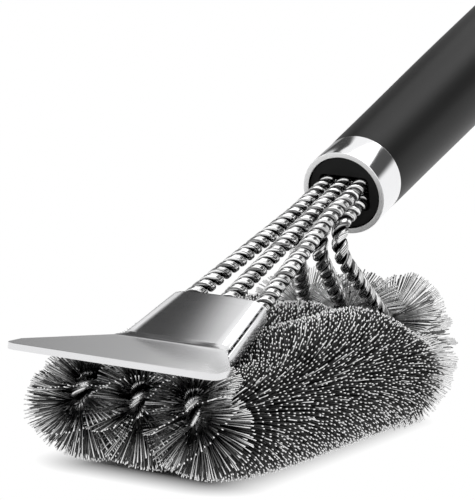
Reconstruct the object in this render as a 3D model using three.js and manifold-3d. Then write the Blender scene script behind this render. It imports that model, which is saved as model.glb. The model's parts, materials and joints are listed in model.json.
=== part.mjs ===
// Grill cleaning brush: three twisted-wire brushes side by side, a folded sheet scraper
// clamped round their front legs, and a round tubular handle with a hanging ring.
// Millimetres. X is the width, -Y the scraper end, +Y the handle end, +Z up.
// z = 0 is the surface under the bristles. The dimensions below count Y from just ahead of the
// front bends; at the end everything moves along Y, so that the origin is under the middle.

import * as THREE from 'three';
import { mergeVertices } from 'three/addons/utils/BufferGeometryUtils.js';
import Module from 'manifold-3d';

const wasm = await Module();
wasm.setup();

const RADIANS = Math.PI / 180;

// ---- driving dimensions ----

const CORE_HEIGHT = 22;          // wire core of each brush above the surface
const STEM_SPACING = 19.4;       // between neighbouring brushes
const STEM_SIDES = [-1, 0, 1];   // left, middle, right
const STEM_NAMES = ['left', 'middle', 'right'];

const HANDLE_TILT = 20 * RADIANS;
const MOUTH_Y = 144;             // centre of the handle's front face
const MOUTH_Z = 78;
const COLUMN_PITCH = 6;          // six stem ends: three columns ...
const ROW_OFFSET = 4.1;          // ... in two rows, this far above and below the axis
const STEM_DEPTH = 60;           // stem ends inside the handle

const FRONT_RUN = 24.6;          // front legs leave the handle straight, then fan out
const REAR_RUN = 27.5;           // rear legs do the same before their elbow
const FRONT_CORNER_Y = -12.1;    // where the lines of leg and core would meet
const REAR_CORNER_Y = 168.5;
const FAN_BEND = 40;             // bend radii on the wire's centre line
const FRONT_BEND = 4;
const REAR_BEND = 8;
const ELBOW_BEND = 9;

const PAIR_INNER = 0.2;          // each stem is two wire pairs laid round each other:
const PAIR_MIDDLE = 1.5;         // section corners of one pair, from the stem's axis
const PAIR_OUTER = 2.85;
const PAIR_HALF_WIDTH = 1.4;
const STEM_RADIUS = PAIR_OUTER;
const TWIST_LEAD = 12;           // one full turn of the twist
const STEPS_PER_TURN = 7;
const BEND_STEP = 26 * RADIANS;

const SHEET = 1.6;               // stainless sheet of the scraper
const SLEEVE_FROM = 0.49;        // sleeve's ends, as shares of the front leg
const SLEEVE_TO = 0.714;
const SLEEVE_CLEARANCE = 0.3;
const SLEEVE_HALF_HEIGHT = STEM_RADIUS + SLEEVE_CLEARANCE + SHEET;
const SEAM_TOP = -0.3;           // the upper shell ends here, the lower one starts below
const SEAM_BOTTOM = -0.9;
const BLADE_LENGTH = 37.6;
const BLADE_HALF_WIDTH = 34.3;
const BLADE_FLARE_LENGTH = 28.2;
const BLADE_CORNER = 3;
const BLADE_ROOT_INSET = 1.8;    // the blade's root is this much narrower than the sleeve
const BLADE_OVERLAP = 0.6;
const STUD_RADIUS = 1.6;
const STUD_HEAD_RADIUS = 2.8;
const STUD_HEAD = 0.9;
const STUD_HOLE_RADIUS = 1.95;

const GAP = 0.3;                 // between pieces that touch

const FERRULE_RADIUS = 15;
const FERRULE_LENGTH = 15;
const FERRULE_BORE = 13.6;
const FERRULE_LIP = 13.3;
const PLUG_RECESS = 0.8;
const PLUG_LENGTH = 46;
const PLUG_REAR_RADIUS = 12.6;
const SLOT_HALF_WIDTH = COLUMN_PITCH + STEM_RADIUS + GAP;
const SLOT_HALF_HEIGHT = ROW_OFFSET + STEM_RADIUS + GAP;
const SLOT_CORNER = 2;
const COLLAR_WALL = 1.4;
const COLLAR_CRIMP = 0.1;        // squeezed this much tighter than the plug's slot
const COLLAR_LENGTH = 11.5;
const GRIP_END = 285;
const CAP_PLUG_RADIUS = 13.7;
const CAP_PLUG_LENGTH = 13;
const CAP_RADIUS = 16.4;
const LUG_CENTRE = 303.5;        // hole for the hanging ring
const LUG_RADIUS = 6;
const LUG_HALF_THICKNESS = 3;
const LUG_HOLE_RADIUS = 2.3;
const RING_RADIUS = 13;
const RING_WIRE_RADIUS = 1.5;
const ROUND = 28;                // facets round the handle

const HEAD_RADIUS = 22.5;        // of a bristle head, from the core's axis; cut flat at z = 0
const HEAD_TOP = 44.4;           // the heads stay below the gap between the legs
const HEAD_NOSE = [              // radius of a head and its y, from the tip of the nose back
  [0, -12], [8, -11.6], [13, -8.5], [16, -4], [17.8, 2], [19, 9], [20.8, 15], [HEAD_RADIUS, 21],
];
const HEAD_REAR_REACH = 21.5;    // round the rear bend
const HEAD_REAR_STEPS = 8;
const CORE_ROOM = 3.3;           // radius of a head's bore for its stem
const CORE_ROOM_SIDES = 12;
const CORE_ROOM_STEP = 18 * RADIANS;

// ---- materials ----

const STEEL_WIRE = new THREE.MeshStandardMaterial({ color: 0xd2d2d0, roughness: 0.35, metalness: 1 });
const BRISTLE_WIRE = new THREE.MeshStandardMaterial({ color: 0x8f8f8d, roughness: 0.4, metalness: 1 });
const SHEET_STEEL = new THREE.MeshStandardMaterial({ color: 0xc4c5c6, roughness: 0.28, metalness: 1 });
const POLISHED_STEEL = new THREE.MeshStandardMaterial({ color: 0xdcdddd, roughness: 0.12, metalness: 1 });
const CHARCOAL_PLASTIC = new THREE.MeshStandardMaterial({ color: 0x343434, roughness: 0.5, metalness: 0 });
const BLACK_PLASTIC = new THREE.MeshStandardMaterial({ color: 0x1c1c1c, roughness: 0.7, metalness: 0 });

// ---- small helpers ----

const vec = (x, y, z) => new THREE.Vector3(x, y, z);
const along = (point, direction, distance) => point.clone().addScaledVector(direction, distance);

const ACROSS = vec(1, 0, 0);
const FORWARD = vec(0, -1, 0);
const DOWN = vec(0, 0, -1);
const HANDLE_AXIS = vec(0, Math.cos(HANDLE_TILT), Math.sin(HANDLE_TILT));
const HANDLE_UP = vec(0, -Math.sin(HANDLE_TILT), Math.cos(HANDLE_TILT));
const MOUTH = vec(0, MOUTH_Y, MOUTH_Z);

function named(name, geometry, material) {
  const mesh = new THREE.Mesh(geometry, material);
  mesh.name = name;
  return mesh;
}

// A closed mesh from rows of vertices and triples of indices.
function meshOf(points, triangles) {
  const geometry = new THREE.BufferGeometry();
  geometry.setAttribute('position', new THREE.Float32BufferAttribute(points.flatMap((p) => p.toArray()), 3));
  geometry.setIndex(triangles.flat());
  geometry.computeVertexNormals();
  return geometry;
}

function solidOf(geometry) {
  const bare = geometry.clone();
  bare.deleteAttribute('normal');
  bare.deleteAttribute('uv');
  const merged = mergeVertices(bare, 1e-4);
  return new wasm.Manifold(new wasm.Mesh({
    numProp: 3,
    vertProperties: new Float32Array(merged.attributes.position.array),
    triVerts: new Uint32Array(merged.index.array),
  }));
}

function geometryOf(solid) {
  const mesh = solid.getMesh();
  const geometry = new THREE.BufferGeometry();
  geometry.setAttribute('position', new THREE.BufferAttribute(new Float32Array(mesh.vertProperties), 3));
  geometry.setIndex(new THREE.BufferAttribute(new Uint32Array(mesh.triVerts), 1));
  geometry.computeVertexNormals();
  return geometry;
}

// Skin over rings of equally many points, counter-clockwise as seen from the last ring.
function skin(rings) {
  const sides = rings[0].length;
  const triangles = [];
  for (let i = 0; i + 1 < rings.length; i++) {
    for (let j = 0; j < sides; j++) {
      const next = (j + 1) % sides;
      const [a, b] = [i * sides + j, i * sides + next];
      triangles.push([a, b, b + sides], [a, b + sides, a + sides]);
    }
  }
  return { points: rings.flat(), triangles };
}

// Closed tube through rings whose outline may be concave (flat: the outline in its own plane).
function loft(rings, flat) {
  const { points, triangles } = skin(rings);
  const last = (rings.length - 1) * flat.length;
  for (const [a, b, c] of THREE.ShapeUtils.triangulateShape(flat, [])) {
    triangles.push([a, c, b], [last + a, last + b, last + c]);
  }
  return meshOf(points, triangles);
}

// ---- routes of the wires ----

// Straight stretches joined by arcs: returns stations with a point, a tangent and a stretch name.
function arcAt(corner, before, after, radius) {
  const inward = corner.clone().sub(before).normalize();
  const outward = after.clone().sub(corner).normalize();
  const turn = inward.angleTo(outward);
  const tangentLength = radius * Math.tan(turn / 2);
  const toCentre = along(outward, inward, -outward.dot(inward)).normalize();
  const start = along(corner, inward, -tangentLength);
  const centre = along(start, toCentre, radius);
  const at = (angle) => ({
    point: along(along(centre, toCentre, -radius * Math.cos(angle)), inward, radius * Math.sin(angle)),
    tangent: along(inward.clone().multiplyScalar(Math.cos(angle)), toCentre, Math.sin(angle)),
  });
  return { start, end: along(corner, outward, tangentLength), turn, radius, centre, at, inward, outward };
}

function stemRoute(side) {
  const column = side * COLUMN_PITCH;
  const row = (offset, distance) =>
    along(along(MOUTH.clone().setX(column), HANDLE_UP, offset), HANDLE_AXIS, distance);
  const frontEnd = row(ROW_OFFSET, STEM_DEPTH);
  const fan = row(ROW_OFFSET, -FRONT_RUN);
  const frontCorner = vec(side * STEM_SPACING, FRONT_CORNER_Y, CORE_HEIGHT);
  const rearCorner = vec(side * STEM_SPACING, REAR_CORNER_Y, CORE_HEIGHT);
  const elbow = row(-ROW_OFFSET, -REAR_RUN);
  const rearEnd = row(-ROW_OFFSET, STEM_DEPTH);
  return {
    frontEnd, frontCorner, fan, rearEnd,
    mouthFront: row(ROW_OFFSET, 0),
    mouthRear: row(-ROW_OFFSET, 0),
    sleeveRear: fan.clone().lerp(frontCorner, SLEEVE_FROM),
    sleeveFront: fan.clone().lerp(frontCorner, SLEEVE_TO),
    fanArc: arcAt(fan, frontEnd, frontCorner, FAN_BEND),
    frontArc: arcAt(frontCorner, fan, rearCorner, FRONT_BEND),
    rearArc: arcAt(rearCorner, frontCorner, elbow, REAR_BEND),
    elbowArc: arcAt(elbow, rearCorner, rearEnd, ELBOW_BEND),
  };
}

const ROUTES = STEM_SIDES.map(stemRoute);

// Stations of one stretch: even steps of about the given length, last point left to the next.
function straightStations(from, to, step) {
  const length = from.distanceTo(to);
  const count = Math.max(1, Math.round(length / step));
  const tangent = to.clone().sub(from).normalize();
  return Array.from({ length: count }, (_, i) => ({
    point: from.clone().lerp(to, i / count), tangent, length: length / count,
  }));
}

function arcStations(arc, angleStep) {
  const count = Math.max(1, Math.round(arc.turn / angleStep));
  const length = (arc.turn / count) * arc.radius;
  return Array.from({ length: count }, (_, i) => ({ ...arc.at((arc.turn * i) / count), length }));
}

// A stretch turns by whole half turns where it shows, and not at all where it is hidden.
function withTwist(stations, twisted, startTwist) {
  const total = stations.reduce((sum, station) => sum + station.length, 0);
  const turn = twisted ? Math.round(total / (TWIST_LEAD / 2)) * Math.PI : 0;
  let travelled = 0;
  for (const station of stations) {
    station.twist = startTwist + (turn * travelled) / total;
    travelled += station.length;
  }
  return startTwist + turn;
}

function stemStations(route) {
  const fine = TWIST_LEAD / STEPS_PER_TURN;
  const coarse = STEM_DEPTH;
  const plain = (from, to) => straightStations(from, to, coarse);
  const laid = (from, to) => straightStations(from, to, fine);
  const laidArc = (arc) => arcStations(arc, fine / arc.radius);
  const stretches = [
    [false, plain(route.frontEnd, route.mouthFront)],
    [true, [...laid(route.mouthFront, route.fanArc.start), ...laidArc(route.fanArc),
      ...laid(route.fanArc.end, route.sleeveRear)]],
    [false, plain(route.sleeveRear, route.sleeveFront)],
    [true, laid(route.sleeveFront, route.frontArc.start)],
    [false, [...arcStations(route.frontArc, BEND_STEP),
      { point: route.frontArc.end, tangent: route.frontArc.outward, length: STEM_DEPTH },
      ...arcStations(route.rearArc, BEND_STEP)]],
    [true, [...laid(route.rearArc.end, route.elbowArc.start), ...laidArc(route.elbowArc),
      ...laid(route.elbowArc.end, route.mouthRear)]],
    [false, plain(route.mouthRear, route.rearEnd)],
  ];
  let twist = 0;
  for (const [twisted, stations] of stretches) twist = withTwist(stations, twisted, twist);
  const end = { point: route.rearEnd, tangent: HANDLE_AXIS, twist };
  return [...stretches.flatMap(([, stations]) => stations), end];
}

// Axes square to a tangent, the first one as near to the width of the brush as it can be.
function squareTo(tangent) {
  const side = along(ACROSS, tangent, -ACROSS.dot(tangent)).normalize();
  return { side, other: tangent.clone().cross(side) };
}

function wirePair(stations, phase) {
  const corners = [
    [PAIR_INNER, 0], [PAIR_MIDDLE, -PAIR_HALF_WIDTH], [PAIR_OUTER, 0], [PAIR_MIDDLE, PAIR_HALF_WIDTH],
  ];
  const rings = stations.map(({ point, tangent, twist }) => {
    const { side, other } = squareTo(tangent);
    const angle = twist + phase;
    return corners.map(([out, across]) => {
      const x = out * Math.cos(angle) - across * Math.sin(angle);
      const y = out * Math.sin(angle) + across * Math.cos(angle);
      return along(along(point, side, x), other, y);
    });
  });
  return loft(rings, corners.map(([x, y]) => new THREE.Vector2(x, y)));
}

function stems(assembly) {
  ROUTES.forEach((route, i) => {
    const stations = stemStations(route);
    assembly.add(named(`stem_${STEM_NAMES[i]}_wire_pair_a`, wirePair(stations, 0), STEEL_WIRE));
    assembly.add(named(`stem_${STEM_NAMES[i]}_wire_pair_b`, wirePair(stations, Math.PI), STEEL_WIRE));
  });
}

// ---- scraper ----

// The sleeve's own axes: forward along the middle leg, and up square to the plane of the legs.
const MIDDLE = ROUTES[1];
const OUTER = ROUTES[2];
const LEG_FORWARD = MIDDLE.sleeveFront.clone().sub(MIDDLE.sleeveRear).normalize();
const LEG_UP = ACROSS.clone().cross(LEG_FORWARD).multiplyScalar(-1);
const SLEEVE_LENGTH = MIDDLE.sleeveRear.distanceTo(MIDDLE.sleeveFront);
const SLEEVE_SIDE = STEM_RADIUS + SLEEVE_CLEARANCE + SHEET;
const SLEEVE_REAR_HALF = OUTER.sleeveRear.x + SLEEVE_SIDE;
const SLEEVE_FRONT_HALF = OUTER.sleeveFront.x + SLEEVE_SIDE;
const SLEEVE_ARC_STEPS = 3;

const inSleeve = (x, up, forward) =>
  along(along(MIDDLE.sleeveRear.clone().setX(x), LEG_UP, up), LEG_FORWARD, forward);

// Half-round sides joined by a flat plate: outer and inner line of one shell.
// rise is 1 for the upper shell and -1 for the lower one, edge is where its sides end.
function shellOutline(halfWidth, rise, edge) {
  const line = (inset) => {
    const radius = SLEEVE_HALF_HEIGHT - inset;
    const centre = halfWidth - SLEEVE_HALF_HEIGHT;
    const quarter = [];
    for (let i = 0; i <= SLEEVE_ARC_STEPS; i++) {
      const angle = (i / SLEEVE_ARC_STEPS) * (Math.PI / 2);
      quarter.push([centre + radius * Math.cos(angle), rise * radius * Math.sin(angle)]);
    }
    const low = [centre + radius * Math.cos(Math.asin(edge / radius)), edge];
    const half = rise > 0 ? [low, ...quarter] : [low, ...quarter.slice(1)];
    return [...half, ...half.map(([x, y]) => [-x, y]).reverse()];
  };
  const outline = [...line(0), ...line(SHEET).reverse()];
  return rise > 0 ? outline : outline.reverse();
}

function sleeveShell(rise, edge) {
  const sections = [
    shellOutline(SLEEVE_REAR_HALF, rise, edge).map(([x, up]) => inSleeve(x, up, 0)),
    shellOutline(SLEEVE_FRONT_HALF, rise, edge).map(([x, up]) => inSleeve(x, up, SLEEVE_LENGTH)),
  ];
  const flat = shellOutline(SLEEVE_REAR_HALF, rise, edge).map(([x, y]) => new THREE.Vector2(x, y));
  return solidOf(loft(sections, flat));
}

// Extrudes an outline given in X and forward distance from the bend, sheet thickness downwards.
function bladePlate() {
  const root = SLEEVE_FRONT_HALF - BLADE_ROOT_INSET;
  const front = BLADE_LENGTH;
  const corner = BLADE_CORNER;
  const shape = new THREE.Shape();
  shape.moveTo(root, -BLADE_OVERLAP);
  shape.lineTo(root, 0);
  shape.lineTo(BLADE_HALF_WIDTH, BLADE_FLARE_LENGTH);
  shape.lineTo(BLADE_HALF_WIDTH, front - corner);
  shape.quadraticCurveTo(BLADE_HALF_WIDTH, front, BLADE_HALF_WIDTH - corner, front);
  shape.lineTo(-BLADE_HALF_WIDTH + corner, front);
  shape.quadraticCurveTo(-BLADE_HALF_WIDTH, front, -BLADE_HALF_WIDTH, front - corner);
  shape.lineTo(-BLADE_HALF_WIDTH, BLADE_FLARE_LENGTH);
  shape.lineTo(-root, 0);
  shape.lineTo(-root, -BLADE_OVERLAP);
  shape.closePath();
  const plate = new THREE.ExtrudeGeometry(shape, { depth: SHEET, bevelEnabled: false, curveSegments: 4 });
  const bend = inSleeve(0, SLEEVE_HALF_HEIGHT, SLEEVE_LENGTH);
  const place = new THREE.Matrix4().makeBasis(ACROSS, FORWARD, DOWN).setPosition(bend);
  return solidOf(plate.applyMatrix4(place));
}

const STUD_X = 0.56 * OUTER.sleeveRear.x;   // between the middle leg and an outer one
const STUDS = [['scraper_stud_left', -STUD_X], ['scraper_stud_right', STUD_X]];

function uprightInSleeve(x, radius, low, high) {
  const stud = new THREE.CylinderGeometry(radius, radius, high - low, 14);
  const place = new THREE.Matrix4().makeBasis(LEG_UP.clone().cross(ACROSS), LEG_UP, ACROSS)
    .setPosition(inSleeve(x, (low + high) / 2, SLEEVE_LENGTH / 2));
  return solidOf(stud.applyMatrix4(place));
}

function scraper(assembly) {
  const upper = sleeveShell(1, SEAM_TOP).add(bladePlate());
  assembly.add(named('scraper_blade', geometryOf(upper), SHEET_STEEL));

  let lower = sleeveShell(-1, SEAM_BOTTOM);
  const below = -SLEEVE_HALF_HEIGHT;
  const headTop = below - GAP;
  const shankTop = SLEEVE_HALF_HEIGHT - SHEET - GAP;
  for (const [name, x] of STUDS) {
    lower = lower.subtract(uprightInSleeve(x, STUD_HOLE_RADIUS, below - 1, below + SHEET + 1));
    const shank = uprightInSleeve(x, STUD_RADIUS, headTop - STUD_HEAD / 2, shankTop);
    const head = uprightInSleeve(x, STUD_HEAD_RADIUS, headTop - STUD_HEAD, headTop);
    assembly.add(named(name, geometryOf(shank.add(head)), POLISHED_STEEL));
  }
  assembly.add(named('scraper_back_shell', geometryOf(lower), SHEET_STEEL));
}

// ---- handle, in its own axes: Y runs back from the mouth, Z is square to it ----

// Closed ring or disc turned from [radius, distance behind the mouth] points.
function turned(profile, segments = ROUND) {
  const points = profile.map(([radius, distance]) => new THREE.Vector2(radius, distance));
  return new THREE.LatheGeometry([...points, points[0].clone()], segments);
}

function roundedRectangle(path, halfWidth, halfHeight, corner) {
  path.moveTo(halfWidth, -halfHeight + corner);
  path.lineTo(halfWidth, halfHeight - corner);
  path.absarc(halfWidth - corner, halfHeight - corner, corner, 0, Math.PI / 2, false);
  path.lineTo(-halfWidth + corner, halfHeight);
  path.absarc(-halfWidth + corner, halfHeight - corner, corner, Math.PI / 2, Math.PI, false);
  path.lineTo(-halfWidth, -halfHeight + corner);
  path.absarc(-halfWidth + corner, -halfHeight + corner, corner, Math.PI, 1.5 * Math.PI, false);
  path.lineTo(halfWidth - corner, -halfHeight);
  path.absarc(halfWidth - corner, -halfHeight + corner, corner, 1.5 * Math.PI, 2 * Math.PI, false);
  return path;
}

// Prism along the handle between two distances behind the mouth.
function prismBehindMouth(shape, from, to) {
  const prism = new THREE.ExtrudeGeometry(shape, { depth: to - from, bevelEnabled: false, curveSegments: 3 });
  return prism.rotateX(Math.PI / 2).translate(0, to, 0);
}

function ferrule() {
  const lipDepth = 1.8;
  return turned([
    [FERRULE_LIP, 0.4], [FERRULE_LIP + 0.4, 0], [FERRULE_RADIUS - 0.5, 0], [FERRULE_RADIUS, 0.5],
    [FERRULE_RADIUS, FERRULE_LENGTH], [FERRULE_BORE, FERRULE_LENGTH],
    [FERRULE_BORE, lipDepth], [FERRULE_LIP, lipDepth],
  ]);
}

function stemPlug() {
  const front = FERRULE_LIP - GAP;
  const shoulder = 2.1;
  const body = solidOf(turned([
    [0, PLUG_RECESS], [front, PLUG_RECESS], [front, shoulder], [FERRULE_BORE - GAP, shoulder],
    [FERRULE_BORE - GAP, FERRULE_LENGTH], [PLUG_REAR_RADIUS, FERRULE_LENGTH], [PLUG_REAR_RADIUS, PLUG_LENGTH],
    [0, PLUG_LENGTH],
  ]));
  const slot = roundedRectangle(new THREE.Shape(), SLOT_HALF_WIDTH, SLOT_HALF_HEIGHT, SLOT_CORNER);
  return geometryOf(body.subtract(solidOf(prismBehindMouth(slot, -1, PLUG_LENGTH + 1))));
}

function crimpCollar() {
  const [innerWidth, innerHeight] = [SLOT_HALF_WIDTH - COLLAR_CRIMP, SLOT_HALF_HEIGHT - COLLAR_CRIMP];
  const outer = roundedRectangle(new THREE.Shape(), SLOT_HALF_WIDTH + COLLAR_WALL,
    SLOT_HALF_HEIGHT + COLLAR_WALL, SLOT_CORNER + COLLAR_WALL);
  outer.holes.push(roundedRectangle(new THREE.Path(), innerWidth, innerHeight, SLOT_CORNER));
  const start = PLUG_LENGTH + GAP;
  return prismBehindMouth(outer, start, start + COLLAR_LENGTH);
}

function handleGrip() {
  const front = FERRULE_LENGTH + GAP;
  const end = GRIP_END;
  const outside = [
    [FERRULE_RADIUS, front], [15.5, 50], [16.4, 110], [17, 200], [17, 245], [CAP_RADIUS + 0.2, end - 6],
    [CAP_RADIUS, end],
  ];
  const inside = [
    [CAP_PLUG_RADIUS + GAP, end], [CAP_PLUG_RADIUS + GAP, end - CAP_PLUG_LENGTH - 4],
    [14.6, 200], [14.2, 110],
    [PLUG_REAR_RADIUS + GAP, 60], [PLUG_REAR_RADIUS + GAP, front],
  ];
  return turned([...outside, ...inside]);
}

function endCap() {
  const seat = GRIP_END + GAP;
  const dome = [[CAP_RADIUS, seat], [16.1, 288.5], [14.7, 292], [11.5, 295], [6.5, 296.8], [0, 297.3]];
  const body = solidOf(turned([
    [0, GRIP_END - CAP_PLUG_LENGTH], [CAP_PLUG_RADIUS, GRIP_END - CAP_PLUG_LENGTH],
    [CAP_PLUG_RADIUS, seat], ...dome,
  ]));
  const outline = new THREE.Shape();
  const neck = 292;
  outline.moveTo(-LUG_RADIUS - 2, neck);
  outline.lineTo(LUG_RADIUS + 2, neck);
  outline.lineTo(LUG_RADIUS, LUG_CENTRE);
  outline.absarc(0, LUG_CENTRE, LUG_RADIUS, 0, Math.PI, false);
  outline.closePath();
  const lug = new THREE.ExtrudeGeometry(outline,
    { depth: 2 * LUG_HALF_THICKNESS, bevelEnabled: false, curveSegments: 10 });
  lug.translate(0, 0, -LUG_HALF_THICKNESS).rotateY(Math.PI / 2);
  const hole = new THREE.CylinderGeometry(LUG_HOLE_RADIUS, LUG_HOLE_RADIUS, 4 * LUG_HALF_THICKNESS, 16);
  hole.rotateZ(Math.PI / 2).translate(0, LUG_CENTRE, 0);
  return geometryOf(body.add(solidOf(lug)).subtract(solidOf(hole)));
}

// Round wire ring, stored as it hangs: straight down from the lug's hole.
function hangingRing() {
  const ring = new THREE.TorusGeometry(RING_RADIUS, RING_WIRE_RADIUS, 6, 24);
  const hole = along(MOUTH, HANDLE_AXIS, LUG_CENTRE);
  return ring.rotateX(Math.PI / 2).translate(hole.x, hole.y, hole.z - RING_RADIUS);
}

function handle(assembly) {
  const tilted = new THREE.Group();
  tilted.position.copy(MOUTH);
  tilted.rotation.x = HANDLE_TILT;
  tilted.add(named('ferrule', ferrule(), POLISHED_STEEL));
  tilted.add(named('stem_plug', stemPlug(), BLACK_PLASTIC));
  tilted.add(named('crimp_collar', crimpCollar(), STEEL_WIRE));
  tilted.add(named('handle_grip', handleGrip(), CHARCOAL_PLASTIC));
  tilted.add(named('end_cap', endCap(), CHARCOAL_PLASTIC));
  assembly.add(tilted);
  assembly.add(named('hanging_ring', hangingRing(), POLISHED_STEEL));
}

// ---- bristle heads: plain solids with the outer shape of the bristles round each core ----

function boxBetween(low, high) {
  const size = high.clone().sub(low);
  const centre = low.clone().add(high).multiplyScalar(0.5);
  return solidOf(new THREE.BoxGeometry(...size.toArray()).translate(...centre.toArray()));
}

// Turned round the straight core, from the nose back to the rear bend.
function headAlongCore(x, rear) {
  const profile = [...HEAD_NOSE, [HEAD_RADIUS, rear], [0, rear]];
  return solidOf(turned(profile).translate(x, 0, CORE_HEIGHT));
}

// Turned round the rear bend's own axis, which lies across the brush.
function headRoundBend(arc) {
  const profile = [[0, -HEAD_REAR_REACH]];
  for (let i = 0; i <= HEAD_REAR_STEPS; i++) {
    const angle = (i / HEAD_REAR_STEPS - 0.5) * Math.PI;
    profile.push([REAR_BEND + HEAD_REAR_REACH * Math.cos(angle), HEAD_REAR_REACH * Math.sin(angle)]);
  }
  profile.push([0, HEAD_REAR_REACH]);
  const wheel = solidOf(turned(profile).rotateZ(Math.PI / 2).translate(...arc.centre.toArray()));
  const behind = vec(200, arc.centre.y + 100, 200);
  return wheel.intersect(boxBetween(vec(-200, arc.centre.y - 1, -200), behind));
}

// The room that a stem takes on its way through a head.
function stemRoom({ fanArc, frontArc, rearArc, elbowArc }) {
  const stations = [
    { point: fanArc.end, tangent: fanArc.outward },
    ...arcStations(frontArc, CORE_ROOM_STEP),
    { point: frontArc.end, tangent: frontArc.outward },
    ...arcStations(rearArc, CORE_ROOM_STEP),
    { point: rearArc.end, tangent: rearArc.outward },
    { point: elbowArc.start, tangent: rearArc.outward },
  ];
  const section = Array.from({ length: CORE_ROOM_SIDES }, (_, j) => {
    const angle = (j / CORE_ROOM_SIDES) * 2 * Math.PI;
    return new THREE.Vector2(CORE_ROOM * Math.cos(angle), CORE_ROOM * Math.sin(angle));
  });
  const rings = stations.map(({ point, tangent }) => {
    const { side, other } = squareTo(tangent);
    return section.map(({ x, y }) => along(along(point, side, x), other, y));
  });
  return solidOf(loft(rings, section));
}

// The room of the sleeve and its studs, and all that is above the blade's underside.
function scraperRoom() {
  const lowest = -SLEEVE_HALF_HEIGHT - GAP - STUD_HEAD - GAP;
  const height = 30;
  const sleeve = new THREE.BoxGeometry(2 * (SLEEVE_FRONT_HALF + GAP), height, SLEEVE_LENGTH + 2 * GAP);
  const middle = inSleeve(0, lowest + height / 2, SLEEVE_LENGTH / 2);
  sleeve.applyMatrix4(new THREE.Matrix4().makeBasis(ACROSS, LEG_UP, LEG_FORWARD).setPosition(middle));
  const bend = inSleeve(0, SLEEVE_HALF_HEIGHT, SLEEVE_LENGTH);
  const blade = boxBetween(vec(-100, -100, bend.z - SHEET - GAP), vec(100, bend.y + 2, 100));
  return solidOf(sleeve).add(blade);
}

function bristleHeads(assembly) {
  const halfPitch = (STEM_SPACING - GAP) / 2;
  const cut = scraperRoom();
  ROUTES.forEach((route, index) => {
    const x = STEM_SIDES[index] * STEM_SPACING;
    const low = vec(index > 0 ? x - halfPitch : -100, -100, 0);
    const high = vec(index < 2 ? x + halfPitch : 100, 300, HEAD_TOP);
    const head = headAlongCore(x, route.rearArc.start.y)
      .add(headRoundBend(route.rearArc))
      .intersect(boxBetween(low, high))
      .subtract(stemRoom(route))
      .subtract(cut);
    assembly.add(named(`bristles_${STEM_NAMES[index]}`, geometryOf(head), BRISTLE_WIRE));
  });
}

const assembly = new THREE.Group();
assembly.name = 'grill_brush';
stems(assembly);
scraper(assembly);
handle(assembly);
bristleHeads(assembly);

assembly.updateMatrixWorld(true);
const box = new THREE.Box3().setFromObject(assembly, true);
assembly.position.y = -(box.min.y + box.max.y) / 2;

export default assembly;
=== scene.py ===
# Looks of the grill cleaning brush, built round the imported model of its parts.
# Metres, +Z up. X is the brush's width, -Y its scraper end, +Y its handle end.
# Sizes of the brush are written in millimetres and turned into metres by mm().

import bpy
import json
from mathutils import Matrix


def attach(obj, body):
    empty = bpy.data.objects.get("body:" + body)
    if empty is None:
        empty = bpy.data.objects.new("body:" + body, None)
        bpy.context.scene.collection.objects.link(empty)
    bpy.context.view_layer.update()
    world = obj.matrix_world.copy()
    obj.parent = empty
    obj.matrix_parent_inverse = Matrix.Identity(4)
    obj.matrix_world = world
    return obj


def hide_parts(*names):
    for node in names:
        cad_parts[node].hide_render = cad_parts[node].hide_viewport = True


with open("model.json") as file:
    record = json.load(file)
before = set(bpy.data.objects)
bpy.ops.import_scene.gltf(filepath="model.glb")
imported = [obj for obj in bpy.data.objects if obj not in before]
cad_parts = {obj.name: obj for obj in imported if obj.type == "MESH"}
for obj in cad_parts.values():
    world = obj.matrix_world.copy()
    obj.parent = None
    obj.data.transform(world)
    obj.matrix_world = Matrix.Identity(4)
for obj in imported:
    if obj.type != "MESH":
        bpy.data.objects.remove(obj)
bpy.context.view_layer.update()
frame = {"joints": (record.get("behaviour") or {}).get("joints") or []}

import json
import math

import bmesh
import bpy
import numpy as np
from mathutils import Matrix, Vector

RNG = np.random.default_rng(7)


def mm(value):
    return value * 0.001


def vec(x, y, z):
    return np.array([x, y, z], float)


def unit(v):
    return v / np.linalg.norm(v)


def units(rows):
    """Each row of an array of vectors, made one long."""
    return rows / np.linalg.norm(rows, axis=1)[:, None]


def round_axis(across, other, angles):
    """Unit vectors at the given angles round an axis, from two that are square to it."""
    return across * np.cos(angles)[:, None] + other * np.sin(angles)[:, None]


def smooth_step(values):
    share = np.clip(values, 0, 1)
    return share * share * (3 - 2 * share)


# ---- driving dimensions, as in the part ----

CORE_HEIGHT = mm(22)
STEM_SPACING = mm(19.4)
STEM_SIDES = {"left": -1, "middle": 0, "right": 1}

HANDLE_TILT = math.radians(20)
LUG_CENTRE = mm(303.5)
RING_JOINT = next(j for j in frame["joints"] if j["name"] == "ring_swing")
LUG_HOLE = np.array(RING_JOINT["pos_m"], float)
HANDLE_AXIS = vec(0, math.cos(HANDLE_TILT), math.sin(HANDLE_TILT))
HANDLE_UP = vec(0, -math.sin(HANDLE_TILT), math.cos(HANDLE_TILT))
ACROSS = vec(1, 0, 0)
MOUTH = LUG_HOLE - LUG_CENTRE * HANDLE_AXIS
Y0 = MOUTH[1] - mm(144)          # the part's own lengths count from here
GAP = mm(0.3)

COLUMN_PITCH = mm(6)
ROW_OFFSET = mm(2.98)
STEM_DEPTH = mm(60)
STEM_RADIUS = mm(2.85)
FRONT_RUN = mm(24.6)
REAR_RUN = mm(27.5)
FRONT_CORNER_Y = Y0 + mm(-12.1)
REAR_CORNER_Y = Y0 + mm(168.5)
FAN_BEND = mm(40)
FRONT_BEND = mm(4)
REAR_BEND = mm(8)
ELBOW_BEND = mm(9)

# ---- meshes from arrays ----

BEVELLED_FROM = math.radians(50)


def add_object(name, data):
    piece = bpy.data.objects.new(name, data)
    bpy.context.scene.collection.objects.link(piece)
    return piece


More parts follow.
